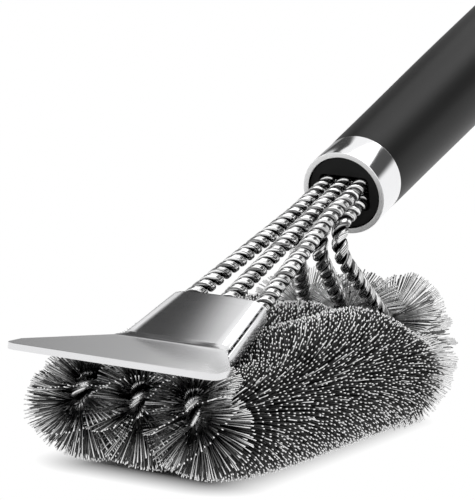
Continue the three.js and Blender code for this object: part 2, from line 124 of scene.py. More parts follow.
def shade_smooth(mesh):
    mesh.polygons.foreach_set("use_smooth", [True] * len(mesh.polygons))


def mesh_object(name, points, faces):
    mesh = bpy.data.meshes.new(name)
    mesh.from_pydata([tuple(p) for p in points], [], faces)
    mesh.validate()
    mesh.update()
    shade_smooth(mesh)
    return add_object(name, mesh)


def tube_faces(rings, sides, closed=False):
    """Quads round a tube of equal rings; its two ends are capped, or joined when closed."""
    faces = []
    last = rings if closed else rings - 1
    for i in range(last):
        a, b = i * sides, ((i + 1) % rings) * sides
        for j in range(sides):
            k = (j + 1) % sides
            faces.append((a + j, a + k, b + k, b + j))
    if not closed:
        faces.append(tuple(reversed(range(sides))))
        faces.append(tuple((rings - 1) * sides + j for j in range(sides)))
    return faces


def closed_object(name, points, faces):
    """A mesh object whose faces are turned to point outwards."""
    piece = mesh_object(name, points, faces)
    bm = bmesh.new()
    bm.from_mesh(piece.data)
    bmesh.ops.recalc_face_normals(bm, faces=bm.faces)
    bm.to_mesh(piece.data)
    bm.free()
    return piece


def modify(piece, kind, **settings):
    """Changes the piece's mesh by one modifier with the given settings."""
    modifier = piece.modifiers.new(kind, kind)
    for name, value in settings.items():
        setattr(modifier, name, value)
    depsgraph = bpy.context.evaluated_depsgraph_get()
    mesh = bpy.data.meshes.new_from_object(piece.evaluated_get(depsgraph))
    piece.modifiers.clear()
    piece.data = mesh


def bevel(piece, width, segments):
    modify(piece, "BEVEL", width=width, segments=segments, limit_method="ANGLE", angle_limit=BEVELLED_FROM)


def combine(piece, other, operation="DIFFERENCE"):
    modify(piece, "BOOLEAN", operation=operation, solver="EXACT", object=other)
    bpy.data.objects.remove(other)


def dress(piece, material, node, body="brush", crease=None):
    """Material, body and node, and creases where faces meet at more than the angle given."""
    if crease:
        shade_smooth(piece.data)
        piece.data.set_sharp_from_angle(angle=math.radians(crease))
    piece.data.materials.clear()
    piece.data.materials.append(material)
    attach(piece, body)
    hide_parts(node)


# ---- materials ----

# How often noise repeats along each axis, which draws it out into lines.
LINES_ALONG_WIRE = (3.4, 110, 1)
LINES_ACROSS_SHEET = (60, 1400, 1400)
LINES_ALONG_FERRULE = (1500, 90, 1500)
# Shares of a bristle's reach where one look gives way to the next: the painted shade lifts off the shaft,
# then the bright cut tip starts.
SHAFT_SHADE_SPAN = 0.50, 0.95
CUT_TIP = 0.965, 0.983
# Roughness of steel, and the plastics' faint shine.
POLISHED_FACE, SATIN_END, SATIN_LIP = 0.11, 0.70, 0.50
PLASTIC_SHINE = 0.10


class Nodes:
    """A node tree, with short calls for its nodes and links."""

    def __init__(self, tree):
        self.nodes, self.links = tree.nodes, tree.links

    def put(self, socket, value):
        if isinstance(value, bpy.types.NodeSocket):
            self.links.new(value, socket)
        else:
            socket.default_value = value

    def set(self, node, **values):
        """Sets a node up: names in small letters are its own settings, the others its sockets."""
        for name, value in values.items():
            if name.islower():
                setattr(node, name, value)
            else:
                self.put(node.inputs[name.replace("_", " ")], value)
        return node

    def add(self, kind, **values):
        return self.set(self.nodes.new("ShaderNode" + kind), **values)

    def math(self, operation, *values, kind="Math", result=0):
        node = self.add(kind, operation=operation)
        for socket, value in zip(node.inputs, values):
            self.put(socket, value)
        return node.outputs[result]

    def ray_share(self, *kinds):
        """1 for rays of the given Light Path kinds, else 0."""
        path, share = self.add("LightPath"), 0.0
        for kind in kinds:
            share = self.math("MAXIMUM", path.outputs[kind], share)
        return share

    def blend(self, share, first, second, target):
        """Links to a socket the first shader node where the share is 0, the second where it is 1."""
        mixed = self.add("MixShader", Fac=share)
        self.put(mixed.inputs[1], first.outputs[0])
        self.put(mixed.inputs[2], second.outputs[0])
        self.put(target, mixed.outputs[0])


class Shader(Nodes):
    """A material's node tree."""

    def __init__(self, name):
        self.material = bpy.data.materials.new(name)
        self.material.use_nodes = True
        super().__init__(self.material.node_tree)
        self.main = self.nodes["Principled BSDF"]
        self.place = self.add("TexCoord").outputs["Object"]

    def steel(self, colour, roughness):
        self.set(self.main, Base_Color=colour, Metallic=1.0, Roughness=roughness)

    def noise(self, scale, detail, rough=0.5, stretch=None, place=None):
        where = place or self.place
        if stretch:
            where = self.add("Mapping", Scale=stretch, Vector=where).outputs["Vector"]
        node = self.add("TexNoise", Scale=scale, Detail=detail, Roughness=rough, Vector=where)
        return node.outputs["Fac"]

    def remap(self, value, low, high, from_low=0.0, from_high=1.0):
        spans = {"From_Min": from_low, "From_Max": from_high, "To_Min": low, "To_Max": high}
        return self.add("MapRange", Value=value, **spans).outputs["Result"]

    def mix(self, share, a, b):
        return self.add("Mix", data_type="RGBA", Factor=share, A=a, B=b).outputs["Result"]

    def attribute(self, name):
        return self.add("Attribute", attribute_name=name).outputs["Fac"]

    def along_strand(self):
        """A point's place on a strand laid out flat: across it, and along it."""
        return self.add("CombineXYZ", X=self.attribute("lane"), Y=self.attribute("run")).outputs["Vector"]

    def bump(self, height, distance, strength):
        bump = self.add("Bump", Strength=strength, Distance=distance, Height=height)
        self.set(self.main, Normal=bump.outputs["Normal"])


def grey(level):
    return (level, level, level, 1.0)


def laid_wire_material():
    """Drawn wire with fine lines along it, and painted shade in the grooves that the twist leaves."""
    shader = Shader("laid_wire")
    drawn = shader.noise(1.0, 2.0, 0.6, LINES_ALONG_WIRE, shader.along_strand())
    bright = shader.mix(shader.remap(drawn, 0.0, 1.0, 0.40, 0.58), grey(0.12), grey(0.95))
    # painted shade: near black deep in the grooves between strands, the wire's own colour over their
    # crests
    colour = shader.mix(shader.attribute("crest_shade"), grey(0.02), bright)
    shader.steel(colour, shader.remap(drawn, 0.24, 0.12))
    shader.bump(drawn, mm(0.04), 0.6)
    return shader.material


def wire_material():
    shader = Shader("bright_wire")
    marks = shader.noise(900, 2.0)
    colour = shader.mix(shader.noise(120, 2.0), grey(0.78), grey(0.92))
    shader.steel(colour, shader.remap(marks, 0.12, 0.22))
    shader.bump(marks, mm(0.02), 0.5)
    return shader.material


def bristle_material():
    """Bright cut tips, shafts that differ from one to the next, and painted shade that turns them black
    towards the core.
    """
    shader = Shader("bristle_wire")
    depth = shader.attribute("along")
    # tone: random per bristle, with the dull and worn shafts painted near black as shade
    shaft = shader.mix(shader.attribute("tone_and_shade"), grey(0.01), grey(1.0))
    # painted shade: black below the first share of the reach, the shaft's own tone past the second
    shaded_shaft = shader.mix(shader.remap(depth, 0.0, 1.0, *SHAFT_SHADE_SPAN), grey(0.0), shaft)
    tip = shader.remap(depth, 0.0, 1.0, *CUT_TIP)
    roughness = shader.remap(shader.noise(420, 2.0), 0.22, 0.36)
    shader.steel(shader.mix(tip, shaded_shaft, grey(1.0)), roughness)
    return shader.material


def sheet_material():
    """Bright rolled sheet, and satin where "cut" marks its turned-down lips."""
    shader = Shader("bright_sheet")
    lines = shader.noise(1.0, 3.0, 0.6, LINES_ACROSS_SHEET)
    colour = shader.mix(shader.noise(28, 2.0), (0.76, 0.76, 0.77, 1), (0.82, 0.82, 0.83, 1))
    rolled = shader.remap(lines, 0.13, 0.18)
    shader.steel(colour, shader.mix(shader.attribute("cut"), rolled, grey(SATIN_LIP)))
    shader.bump(lines, mm(0.01), 0.15)
    return shader.material


def polished_material():
    """Polished round the ferrule, and satin where "cut" marks a turned end."""
    shader = Shader("polished_steel")
    polished = shader.mix(shader.noise(60, 2.0), (0.84, 0.84, 0.85, 1), (0.90, 0.90, 0.91, 1))
    cut = shader.attribute("cut")
    shader.steel(shader.mix(cut, polished, grey(1.0)), shader.remap(cut, POLISHED_FACE, SATIN_END))
    shader.bump(shader.noise(1.0, 2.0, 0.5, LINES_ALONG_FERRULE), mm(0.006), 0.2)
    return shader.material


def plastic_material(name, dark, light, rough_low, rough_high):
    shader = Shader(name)
    grain = shader.noise(1600, 3.0, 0.6)
    clouds = shader.noise(35, 2.0)
    shader.set(
        shader.main,
        Base_Color=shader.mix(clouds, grey(dark), grey(light)),
        Roughness=shader.remap(grain, rough_low, rough_high),
        Specular_IOR_Level=PLASTIC_SHINE,
    )
    shader.bump(grain, mm(0.05), 0.35)
    return shader.material


LAID_WIRE = laid_wire_material()
WIRE = wire_material()
BRISTLE = bristle_material()
SHEET_METAL = sheet_material()
POLISHED = polished_material()
GRIP = plastic_material("grip_plastic", 0.011, 0.015, 0.30, 0.42)
PLUG = plastic_material("plug_plastic", 0.019, 0.024, 0.60, 0.75)

# ---- routes of the stems ----


class Arc:
    """Round bend of a polyline corner."""

    def __init__(self, corner, before, after, radius):
        self.inward, self.outward = unit(corner - before), unit(after - corner)
        self.turn = math.acos(float(self.inward @ self.outward))
        reach = radius * math.tan(self.turn / 2)
        self.start, self.end = corner - self.inward * reach, corner + self.outward * reach
        self.to_centre = unit(self.outward - self.inward * (self.outward @ self.inward))
        self.centre = self.start + self.to_centre * radius
        self.radius, self.length = radius, radius * self.turn

    def at(self, angle):
        point = self.centre - self.to_centre * (self.radius * math.cos(angle))
        tangent = self.inward * math.cos(angle) + self.to_centre * math.sin(angle)
        return point + self.inward * (self.radius * math.sin(angle)), tangent

    def stations(self, step):
        """(point, tangent, length to the next) along the bend, without its end."""
        count = max(1, round(self.length / step))
        return [(*self.at(self.turn * (i / count)), self.length / count) for i in range(count)]


def line_stations(start, end, step):
    length = np.linalg.norm(end - start)
    count = max(1, round(length / step))
    return [(start + (end - start) * i / count, unit(end - start), length / count) for i in range(count)]


def stem_route(side):
    def row(offset, distance):
        column = vec(side * COLUMN_PITCH, MOUTH[1], MOUTH[2])
        return column + HANDLE_UP * offset + HANDLE_AXIS * distance

    front_end, fan = row(ROW_OFFSET, STEM_DEPTH), row(ROW_OFFSET, -FRONT_RUN)
    front_corner = vec(side * STEM_SPACING, FRONT_CORNER_Y, CORE_HEIGHT)
    rear_corner = vec(side * STEM_SPACING, REAR_CORNER_Y, CORE_HEIGHT)
    elbow, rear_end = row(-ROW_OFFSET, -REAR_RUN), row(-ROW_OFFSET, STEM_DEPTH)
    return {
        "ends": (front_end, rear_end),
        "leg": (fan, front_corner),
        "fan": Arc(fan, front_end, front_corner, FAN_BEND),
        "front": Arc(front_corner, fan, rear_corner, FRONT_BEND),
        "rear": Arc(rear_corner, front_corner, elbow, REAR_BEND),
        "elbow": Arc(elbow, rear_corner, rear_end, ELBOW_BEND),
    }


ROUTES = {name: stem_route(side) for name, side in STEM_SIDES.items()}


def columns(stations):
    """Points, tangents and travelled lengths of (point, tangent, length) stations."""
    points, tangents, lengths = (np.array(column) for column in zip(*stations))
    return points, tangents, np.concatenate([[0], np.cumsum(lengths)[:-1]])


def centre_line(route, step):
    """From the front leg's end in the handle round the brush to the rear leg's end."""
    start, stations = route["ends"][0], []
    for name in ("fan", "front", "rear", "elbow"):
        arc = route[name]
        stations += line_stations(start, arc.start, step) + arc.stations(step)
        start = arc.end
    stations += line_stations(start, route["ends"][1], step)
    stations.append((route["ends"][1], HANDLE_AXIS, 0.0))
    return columns(stations)


def square_axes(tangents):
    """For each tangent, the axis nearest to the brush's width, and the one square to both."""
    across = units(ACROSS - tangents * tangents[:, :1])
    return across, np.cross(tangents, across)


# ---- stems: two strands laid round each other, each of two wires side by side ----

TWIST_LEAD = mm(9.4)
STRAND_ORBIT = mm(1.56)          # a strand's centre from the stem's axis
STRAND_WIRE = mm(1.24)           # radius of each of its two wires
STRAND_OFFSET = mm(0.33)         # and their centres' distance from the strand's middle
STRAND_INNER = mm(0.15)          # its inner edge from the stem's axis
STRAND_STEP = mm(0.55)
CREVICE_SHADE_DEPTH = mm(0.15), mm(0.70)  # heights over a strand's middle where painted crevice shade ends and bare wire starts


def strand_section():
    """(outward, sideways) points of a strand: two round wires that meet in a groove."""
    groove = -math.asin(STRAND_OFFSET / STRAND_WIRE)
    turns = np.linspace(groove, math.radians(128), 11)
    half = [(STRAND_WIRE * math.cos(t), STRAND_OFFSET + STRAND_WIRE * math.sin(t)) for t in turns]
    return half + [(STRAND_INNER - STRAND_ORBIT, 0.0)] + [(out, -side) for out, side in half[:0:-1]]


def store_values(piece, name, values):
    """One number for each corner of a mesh, which its material reads by name."""
    attribute = piece.data.attributes.new(name, "FLOAT", "POINT")
    attribute.data.foreach_set("value", np.asarray(values, np.float32).reshape(-1))


def strand(name, line, phase):
    """One strand along a stem's line, with what its material reads: "crest", "lane" and "run"."""
    points, tangents, travelled = line
    across, other = square_axes(tangents)
    radial = round_axis(across, other, travelled / TWIST_LEAD * math.tau + phase)
    centres = points + radial * STRAND_ORBIT
    heading = units(np.gradient(centres, axis=0))
    out = units(radial - heading * np.sum(radial * heading, axis=1)[:, None])
    side = np.cross(heading, out)
    section = np.array(strand_section())
    rings = centres[:, None] + out[:, None] * section[None, :, :1] + side[:, None] * section[None, :, 1:]
    piece = mesh_object(name, rings.reshape(-1, 3), tube_faces(len(rings), len(section)))
    # painted shade in the grooves: 0 at the strand's inner side, 1 over its crest
    low, high = CREVICE_SHADE_DEPTH
    crest_shade = smooth_step((section[:, 0] - low) / (high - low))
    count, sides = len(rings), len(section)
    store_values(piece, "crest_shade", np.tile(crest_shade, count))
    store_values(piece, "lane", np.tile(section[:, 1] / STRAND_WIRE, count))
    store_values(piece, "run", np.repeat(travelled, sides))
    return piece


def make_stems():
    for name, route in ROUTES.items():
        line = centre_line(route, STRAND_STEP)
        for letter, phase in (("a", 0.0), ("b", math.pi)):
            piece = strand(f"laid_wires_{name}_{letter}", line, phase)
            dress(piece, LAID_WIRE, f"stem_{name}_wire_pair_{letter}", crease=40)


# ---- scraper ----

SHEET = mm(1.0)
LIP_SHEET = mm(1.9)              # the blade's thickness at its scraping edge
SLEEVE_FROM, SLEEVE_TO = 0.49, 0.714
SLEEVE_HALF_HEIGHT = STEM_RADIUS + mm(1.9)
PLATE_INSET = mm(0.1)            # the sleeve's flat top ends this far inside the outer legs' axes
BAND_OUTSET = mm(1.9)            # its sloped band ends this far outside them
LIP_OUTSET = mm(2.7)             # and so does its turned-down lip
CROWN = mm(0.45)                 # drop of the flat top from its middle to its sides
BAND_SLOPE = math.radians(16)
LIP_DROP = mm(0.45)
SEAM = mm(0.5)                   # gap between the two shells at the sides
WALL_OUTSET = mm(3.6)            # the lower shell's walls, outside the outer legs' axes
WALL_SHEET = mm(0.7)
WALL_CORNER = mm(4)
BLADE_ROOT_OUTSET = mm(3.1)      # the blade's sides at the fold
BLADE_LENGTH = mm(37.6)
BLADE_HALF_WIDTH = mm(34.3)
BLADE_FLARE = mm(28.2)
BLADE_CORNER = mm(3)
FOLD_RADIUS = mm(6)
FOLD_FLATTENING = mm(3)          # length over which the sleeve's lips flatten out to the blade
SHEET_EDGE = mm(0.16)            # the sheared edges' small rounding
BLADE_EDGE = mm(0.30)            # and the larger one of the blade
STUD_HOLE = mm(1.95)
STUD_RADIUS = mm(1.6)
STUD_HEAD_RADIUS = mm(2.8)
STUD_HEAD = mm(0.9)


def on_leg(side, share):
    start, end = ROUTES[side]["leg"]
    return start + (end - start) * share


SLEEVE_REAR = on_leg("middle", SLEEVE_FROM)
SLEEVE_FRONT = on_leg("middle", SLEEVE_TO)
LEG_FORWARD = unit(SLEEVE_FRONT - SLEEVE_REAR)
LEG_UP = -np.cross(ACROSS, LEG_FORWARD)
SLEEVE_LENGTH = float(np.linalg.norm(SLEEVE_FRONT - SLEEVE_REAR))
LEG_X_REAR = on_leg("right", SLEEVE_FROM)[0]
LEG_X_FRONT = on_leg("right", SLEEVE_TO)[0]
FOLD_ANGLE = math.acos(float(LEG_FORWARD @ vec(0, -1, 0)))
STUD_X = 0.56 * LEG_X_REAR


def in_sleeve(x, up, forward):
    return vec(x, SLEEVE_REAR[1], SLEEVE_REAR[2]) + LEG_UP * up + LEG_FORWARD * forward


FOLD_LINE = in_sleeve(0, SLEEVE_HALF_HEIGHT, SLEEVE_LENGTH)


def leg_x(forward):
    return LEG_X_REAR + (LEG_X_FRONT - LEG_X_REAR) * forward / SLEEVE_LENGTH


def plate_side(outer_leg):
    """Right half of the sleeve's top seen from its end: (x, height under the crown)."""
    flat, band, lip = outer_leg - PLATE_INSET, outer_leg + BAND_OUTSET, outer_leg + LIP_OUTSET
    band_shares = (0.04, 0.5, 1)
    points = [(flat * share, -CROWN * share ** 2) for share in np.linspace(0, 1, 8)]
    low = -CROWN - (band - flat) * math.tan(BAND_SLOPE)
    points += [(flat + (band - flat) * t, -CROWN + (low + CROWN) * t) for t in band_shares]
    for turn in np.linspace(0, math.pi / 2, 7)[1:]:
        points.append((band + (lip - band) * math.sin(turn), low - LIP_DROP * (1 - math.cos(turn))))
    return points


def whole_width(half):
    return [(-x, *rest) for x, *rest in reversed(half[1:])] + list(half)


def inner_side(line, thickness):
    """The line moved inwards by the sheet's thickness, square to itself."""
    points = np.array(line, float)
    along = np.gradient(points, axis=0)
    normals = units(np.stack([-along[:, 1], along[:, 0]], axis=1))
    return points - normals * thickness


def blade_half_width(forward):
    """Half width of the blade at a distance ahead of the fold."""
    root = LEG_X_FRONT + BLADE_ROOT_OUTSET
    if forward < BLADE_FLARE:
        return root + (BLADE_HALF_WIDTH - root) * max(0.0, forward) / BLADE_FLARE
    into_corner = forward - (BLADE_LENGTH - BLADE_CORNER)
    if into_corner <= 0:
        return BLADE_HALF_WIDTH
    return BLADE_HALF_WIDTH - BLADE_CORNER + math.sqrt(max(0.0, BLADE_CORNER ** 2 - into_corner ** 2))


def blade_profile():
    """The top's side view from rear to edge: (point, normal, distance ahead of the fold)."""
    reach = FOLD_RADIUS * math.tan(FOLD_ANGLE / 2)
    centre = FOLD_LINE - LEG_FORWARD * reach + LEG_UP * FOLD_RADIUS
    bend_steps, corner_steps = 10, 8
    behind = [SLEEVE_LENGTH * share for share in (1, 0.98, 0.75, 0.5, 0.25)]
    behind += [reach + FOLD_FLATTENING * share for share in (1, 0.8, 0.6, 0.4, 0.2)]
    stations = [(FOLD_LINE - LEG_FORWARD * d, LEG_UP, -d) for d in behind]
    for i in range(bend_steps + 1):
        angle = FOLD_ANGLE * i / bend_steps
        normal = LEG_UP * math.cos(angle) + LEG_FORWARD * -math.sin(angle)
        stations.append((centre - normal * FOLD_RADIUS, normal, reach * (2 * i / bend_steps - 1)))
    distances = [BLADE_FLARE * i / 6 for i in range(1, 7)]
    for i in range(corner_steps + 1):
        distances.append(BLADE_LENGTH - BLADE_CORNER * math.cos(math.pi / 2 * i / corner_steps))
    return stations + [(FOLD_LINE + vec(0, -1, 0) * d, vec(0, 0, 1), d) for d in distances]


def grid_sheet(name, top, under):
    """Closed sheet from two grids of rows of points, one over the other."""
    rows, across = len(top), len(top[0])
    count, faces = rows * across, []
    for i in range(rows - 1):
        for j in range(across - 1):
            a = i * across + j
            faces.append((a, a + 1, a + across + 1, a + across))
            faces.append((count + a, count + a + across, count + a + across + 1, count + a + 1))
    grid = np.arange(count).reshape(rows, across)
    rim = np.concatenate([grid[0], grid[1:, -1], grid[-1, -2::-1], grid[-2:0:-1, 0]]).tolist()
    for a, b in zip(rim, rim[1:] + rim[:1]):
        faces.append((a, b, count + b, count + a))
    points = [p for row in top + under for p in row]
    return closed_object(name, points, faces)


def blade_mesh():
    """The bent sheet in one run: the sleeve's top, the fold and the flared blade."""
    top, under = [], []
    for point, normal, distance in blade_profile():
        outer = np.array(whole_width(plate_side(leg_x(SLEEVE_LENGTH + min(distance, 0)))))
        inner = inner_side(outer, SHEET)
        flatness = float(smooth_step(1 + distance / (FOLD_FLATTENING + mm(1))))
        thickness = SHEET + (LIP_SHEET - SHEET) * flatness
        shares = outer[:, 0] / outer[-1, 0]
        level = np.stack([shares * blade_half_width(distance), np.zeros(len(shares))], axis=1)
        outer += (level - outer) * flatness
        inner += (level - (0, thickness) - inner) * flatness
        top.append([point + ACROSS * x + normal * up for x, up in outer])
        under.append([point + ACROSS * x + normal * up for x, up in inner])
    return grid_sheet("scraper_sheet", top, under)


def trough_side(outer_leg, inset):
    """Right half of the lower shell seen from its end: a wall, a round corner and the floor."""
    wall, low = outer_leg + WALL_OUTSET - inset, inset - SLEEVE_HALF_HEIGHT
    drop = CROWN + (PLATE_INSET + BAND_OUTSET) * math.tan(BAND_SLOPE) + LIP_DROP
    round_by = WALL_CORNER - inset
    points = [(wall, SLEEVE_HALF_HEIGHT - drop - SEAM), (wall, low + round_by)]
    for turn in np.linspace(0, math.pi / 2, 9)[1:]:
        points.append((wall - round_by * (1 - math.cos(turn)), low + round_by * (1 - math.sin(turn))))
    return points + [(0, low)]


def trough_mesh():
    outer_rows, inner_rows = [], []
    for forward in (0.0, SLEEVE_LENGTH):
        for rows, inset in ((outer_rows, 0.0), (inner_rows, WALL_SHEET)):
            half = trough_side(leg_x(forward), inset)
            line = [(-x, up) for x, up in half[:-1]] + half[::-1]
            rows.append([in_sleeve(x, up, forward) for x, up in line])
    return grid_sheet("scraper_lower_shell", outer_rows, inner_rows)


def stud_point(x):
    """Placing function for pieces turned round a stud's axis, from the sleeve's middle up."""
    def place(radius, angle, distance):
        across, forward = radius * math.cos(angle), radius * math.sin(angle)
        return in_sleeve(x + across, distance, SLEEVE_LENGTH / 2 + forward)
    return place


def make_studs(shell):
    below = -SLEEVE_HALF_HEIGHT
    for name, side in (("left", -1), ("right", 1)):
        place = stud_point(side * STUD_X)
        low, high = below - mm(1), below + mm(3)
        hole = [(0, low), (STUD_HOLE, low), (STUD_HOLE, high), (0, high)]
        combine(shell, turned("hole", hole, place, 32))
        seat, dome = below - GAP, below - GAP - STUD_HEAD
        top = SLEEVE_HALF_HEIGHT - LIP_SHEET
        profile = [
            (0, top), (STUD_RADIUS, top), (STUD_RADIUS, seat), (STUD_HEAD_RADIUS, seat),
            (STUD_HEAD_RADIUS, seat - mm(0.2)), (mm(2.45), seat - mm(0.55)),
            (mm(1.7), seat - mm(0.8)), (0, dome),
        ]
        stud = turned(f"rivet_{name}", profile, place, 40)
        dress(stud, POLISHED, f"scraper_stud_{name}", crease=35)


def on_lip(point):
    """1 on the turned-down lips at the sides of the sleeve's top."""
    forward, past_band = (np.array(point) - SLEEVE_REAR) @ LEG_FORWARD, mm(0.15)
    outside = abs(point[0]) > leg_x(forward) + BAND_OUTSET + past_band
    return float(outside and forward < SLEEVE_LENGTH - FOLD_RADIUS)


def make_scraper():
    upper = blade_mesh()
    bevel(upper, BLADE_EDGE, 3)
    store_values(upper, "cut", [on_lip(vertex.co) for vertex in upper.data.vertices])
    dress(upper, SHEET_METAL, "scraper_blade", crease=32)
    lower = trough_mesh()
    make_studs(lower)
    bevel(lower, SHEET_EDGE, 2)
    dress(lower, SHEET_METAL, "scraper_back_shell", crease=32)


# ---- handle: pieces turned round its axis ----

FERRULE_RADIUS = mm(15)
FERRULE_LENGTH = mm(15)
FERRULE_BORE = mm(13.6)
FERRULE_LIP = mm(13.1)
PLUG_RECESS = mm(0.8)
PLUG_LENGTH = mm(46)
SLOT_HALF_WIDTH = COLUMN_PITCH + STEM_RADIUS + GAP
SLOT_HALF_HEIGHT = ROW_OFFSET + STEM_RADIUS + GAP
SLOT_CORNER = mm(2)
GRIP_END = mm(285)
CAP_PLUG_RADIUS = mm(13.7)
CAP_PLUG_LENGTH = mm(13)
LUG_RADIUS = mm(5.85)
LUG_HALF_THICKNESS = mm(3)
LUG_HOLE_RADIUS = mm(2.3)
RING_RADIUS = mm(13)
RING_WIRE = mm(1.5)


def in_handle(x, up, distance):
    return MOUTH + ACROSS * x + HANDLE_UP * up + HANDLE_AXIS * distance


def handle_point(radius, angle, distance):
    return in_handle(radius * math.cos(angle), radius * math.sin(angle), distance)


def turned(name, profile, place=handle_point, segments=96):
    """Ring or disc turned from (radius, distance) points given round its section."""
    angles = [math.tau * j / segments for j in range(segments)]
    points, faces, rings = [], [], []
    for radius, distance in profile:
        if radius < mm(0.01):
            rings.append([len(points)] * segments)
            points.append(place(0, 0, distance))
        else:
            rings.append(list(range(len(points), len(points) + segments)))
            points += [place(radius, angle, distance) for angle in angles]
    for ring, after in zip(rings, rings[1:] + rings[:1]):
        for j in range(segments):
            k = (j + 1) % segments
            corners = list(dict.fromkeys((ring[j], ring[k], after[k], after[j])))
            if len(corners) > 2:
                faces.append(tuple(corners))
    return closed_object(name, points, faces)


def rounded(profile, radius, steps=4):
    """The profile with each corner off the axis replaced by a small curve."""
    result, count = [], len(profile)
    for i in range(count):
        before, corner, after = (np.array(profile[(i + k) % count], float) for k in (-1, 0, 1))
        if corner[0] == 0:
            result.append(tuple(corner))
            continue
        a, b = before - corner, after - corner
        room = min(radius, 0.4 * np.linalg.norm(a), 0.4 * np.linalg.norm(b))
        start, end = corner + unit(a) * room, corner + unit(b) * room
        for t in np.linspace(0, 1, steps + 1):
            result.append(tuple((1 - t) ** 2 * start + 2 * t * (1 - t) * corner + t * t * end))
    return result


def smooth_line(points, steps=8):
    """Catmull-Rom curve through (radius, distance) points."""
    line = []
    padded = [np.array(p, float) for p in [points[0]] + list(points) + [points[-1]]]
    for p0, p1, p2, p3 in zip(padded, padded[1:], padded[2:], padded[3:]):
        for t in np.arange(steps) / steps:
            bend = (2 * p0 - 5 * p1 + 4 * p2 - p3) * t ** 2 + (3 * p1 - p0 - 3 * p2 + p3) * t ** 3
            line.append(tuple(0.5 * (2 * p1 + (p2 - p0) * t + bend)))
    line.append(points[-1])
    return line


def prism(name, outline, place, depths):
    """Straight prism: an outline placed at two depths."""
    points = [place(a, b, depth) for depth in depths for a, b in outline]
    return closed_object(name, points, tube_faces(2, len(outline)))


def rounded_rectangle(half_width, half_height, corner, steps=6):
    outline = []
    for quarter, (x_side, y_side) in enumerate([(1, 1), (-1, 1), (-1, -1), (1, -1)]):
        for i in range(steps + 1):
            turn = (quarter + i / steps) * math.pi / 2
            outline.append((x_side * (half_width - corner) + corner * math.cos(turn),
                            y_side * (half_height - corner) + corner * math.sin(turn)))
    return outline


def make_ferrule():
    lip_depth = mm(1.8)
    profile = [
        (FERRULE_LIP, 0.0), (FERRULE_RADIUS, 0.0), (FERRULE_RADIUS, FERRULE_LENGTH),
        (FERRULE_BORE, FERRULE_LENGTH), (FERRULE_BORE, lip_depth), (FERRULE_LIP, lip_depth),
    ]
    piece = turned("polished_ferrule", rounded(profile, mm(0.25)), segments=128)
    depths = [(np.array(v.co) - MOUTH) @ HANDLE_AXIS for v in piece.data.vertices]
    store_values(piece, "cut", [float(depth < mm(0.1)) for depth in depths])
    dress(piece, POLISHED, "ferrule", crease=40)


def make_plug():
    front, shoulder, rear_radius = FERRULE_LIP - GAP, mm(2.1), mm(12.6)
    profile = [
        (0, PLUG_RECESS), (front, PLUG_RECESS), (front, shoulder), (FERRULE_BORE - GAP, shoulder),
        (FERRULE_BORE - GAP, FERRULE_LENGTH), (rear_radius, FERRULE_LENGTH), (rear_radius, PLUG_LENGTH),
        (0, PLUG_LENGTH),
    ]
    plug = turned("black_plug", rounded(profile, mm(0.3)))
    slot = rounded_rectangle(SLOT_HALF_WIDTH, SLOT_HALF_HEIGHT, SLOT_CORNER)
    combine(plug, prism("slot", slot, in_handle, (-mm(1), PLUG_LENGTH + mm(1))))
    bevel(plug, mm(0.2), 2)
    dress(plug, PLUG, "stem_plug", crease=35)


def make_collar():
    wall, length, crimp = mm(1.4), mm(11.5), mm(0.1)
    depths = (PLUG_LENGTH + GAP, PLUG_LENGTH + GAP + length)
    outer = rounded_rectangle(SLOT_HALF_WIDTH + wall, SLOT_HALF_HEIGHT + wall, SLOT_CORNER + wall)
    inner = rounded_rectangle(SLOT_HALF_WIDTH - crimp, SLOT_HALF_HEIGHT - crimp, SLOT_CORNER)
    collar = prism("steel_collar", outer, in_handle, depths)
    combine(collar, prism("bore", inner, in_handle, (depths[0] - mm(1), depths[1] + mm(1))))
    bevel(collar, mm(0.25), 2)
    dress(collar, WIRE, "crimp_collar", crease=35)


def make_grip():
    front = FERRULE_LENGTH + GAP
    outside = smooth_line([
        (mm(14.2), front), (mm(14.5), front + mm(0.2)), (mm(15.0), front + mm(0.8)), (mm(15.5), mm(50)),
        (mm(16.4), mm(110)), (mm(17), mm(200)), (mm(17), mm(245)), (mm(16.6), mm(279)),
        (mm(16.4), GRIP_END - mm(0.4)), (mm(16.0), GRIP_END),
    ])
    inside = [
        (mm(14.0), GRIP_END), (mm(14.0), mm(268)), (mm(14.6), mm(200)), (mm(14.2), mm(110)),
        (mm(12.9), mm(60)), (mm(12.9), front),
    ]
    piece = turned("charcoal_grip", outside + inside)
    dress(piece, GRIP, "handle_grip", crease=30)


def round_hole(radius, angles):
    """Points round the lug's hole, at a distance from its centre."""
    return [(radius * math.cos(t), LUG_CENTRE + radius * math.sin(t)) for t in angles]


def lug_outline():
    neck, foot, steps = mm(292), LUG_RADIUS + mm(2.15), 20
    tip = round_hole(LUG_RADIUS, [math.pi * i / steps for i in range(steps + 1)])
    return [(-foot, neck), (foot, neck)] + tip


def make_end_cap():
    seat = GRIP_END + GAP
    dome = smooth_line([
        (mm(15.9), seat), (mm(16.2), seat + mm(0.5)), (mm(15.85), mm(288.5)), (mm(14.5), mm(292)),
        (mm(11.5), mm(295)), (mm(6.5), mm(296.8)), (0, mm(297.3)),
    ], 6)
    start = GRIP_END - CAP_PLUG_LENGTH
    cap = turned("end_dome", [(0, start), (CAP_PLUG_RADIUS, start), (CAP_PLUG_RADIUS, seat)] + dome)

    def in_lug(up, distance, x):
        return in_handle(x, up, distance)

    lug = prism("lug", lug_outline(), in_lug, (-LUG_HALF_THICKNESS, LUG_HALF_THICKNESS))
    bevel(lug, mm(1.0), 3)
    combine(cap, lug, "UNION")
    sides = 40
    hole = round_hole(LUG_HOLE_RADIUS, [math.tau * i / sides for i in range(sides)])
    combine(cap, prism("eye", hole, in_lug, (-mm(6), mm(6))))
    dress(cap, GRIP, "end_cap", crease=35)


